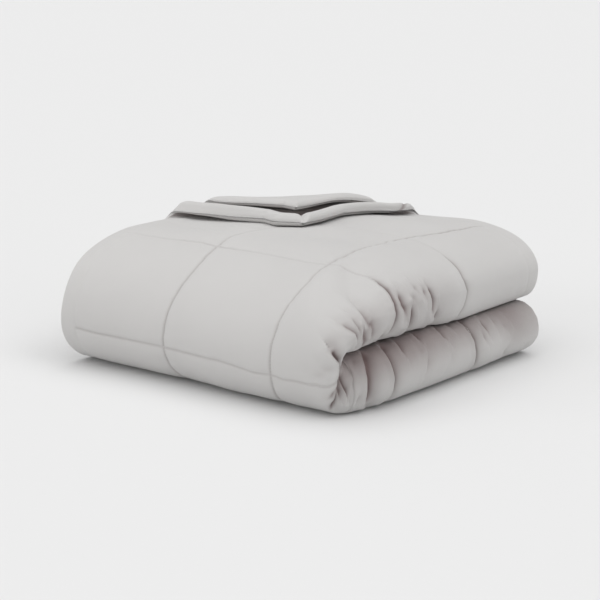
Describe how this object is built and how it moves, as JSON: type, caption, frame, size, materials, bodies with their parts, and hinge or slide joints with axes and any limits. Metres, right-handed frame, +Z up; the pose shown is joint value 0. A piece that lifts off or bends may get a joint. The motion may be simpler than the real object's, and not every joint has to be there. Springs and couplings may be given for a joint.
{
  "type": "folded down alternative blanket",
  "caption": "Box-quilted blanket folded into a thick square stack for the shelf, with two rolls at one side and the top corner turned back over the pile.",
  "frame": {"origin": "middle of the footprint, at the underside that the blanket rests on", "axes": "+Z up through the layers, +X towards the side with the two rolls, -Y towards the side with the folded spine, +Y towards the side where the top hems end"},
  "size_m": [0.556, 0.5498, 0.23],
  "materials": {
    "cotton_cover": "matte"
  },
  "bodies": {
    "root": {"blanket": "cotton_cover"}
  },
  "joints": []
}
